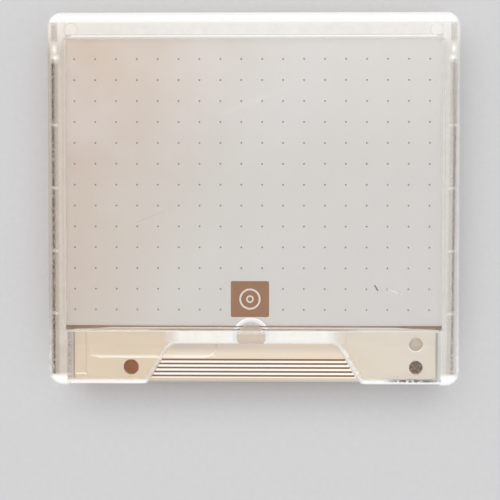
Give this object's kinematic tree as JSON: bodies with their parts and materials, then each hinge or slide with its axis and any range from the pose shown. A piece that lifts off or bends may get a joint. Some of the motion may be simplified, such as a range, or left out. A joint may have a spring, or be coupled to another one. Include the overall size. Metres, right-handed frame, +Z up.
{
  "type": "disc cartridge in a slip case",
  "caption": "Flat recordable-disc cartridge with a sliding metal shutter, in a clear slip case with an index card.",
  "frame": {"origin": "centre of the slip case's underside", "axes": "+X along the case's width, +Y towards its closed end, +Z up through the front wall"},
  "size_m": [0.0816, 0.0738, 0.0078],
  "materials": {
    "clear_case": "clear polished",
    "card": "matte coated board",
    "cream_shell": "satin moulded",
    "brown_shell": "satin moulded",
    "shutter_metal": "fine brushed",
    "slider_plastic": "moulded",
    "tab_plastic": "moulded",
    "disc": "mirror-like recording layer",
    "plate_metal": "stamped"
  },
  "bodies": {
    "case": {"case_back": "clear_case", "case_front": "clear_case", "index_card": "card"},
    "cartridge": {"hub_side_shell": "cream_shell", "label_side_shell": "brown_shell"},
    "shutter": {"shutter": "shutter_metal", "shutter_slider": "slider_plastic"},
    "write_protect_tab": {"write_protect_tab": "tab_plastic"},
    "disc": {"disc": "disc", "clamping_plate": "plate_metal"}
  },
  "joints": [
    {"name": "cartridge_slide", "type": "slide", "parent": "case", "child": "cartridge", "axis": [0, -1, 0], "range_m": [0, 0.066]},
    {"name": "shutter_slide", "type": "slide", "parent": "cartridge", "child": "shutter", "axis": [1, 0, 0], "range_m": [0, 0.02]},
    {"name": "write_protect_slide", "type": "slide", "parent": "cartridge", "child": "write_protect_tab", "axis": [0, 1, 0], "range_m": [0, 0.004]},
    {"name": "disc_spin", "type": "hinge", "parent": "cartridge", "child": "disc", "pos_m": [0.0003, -0.0024, 0.0035], "axis": [0, 0, 1], "continuous": true}
  ]
}
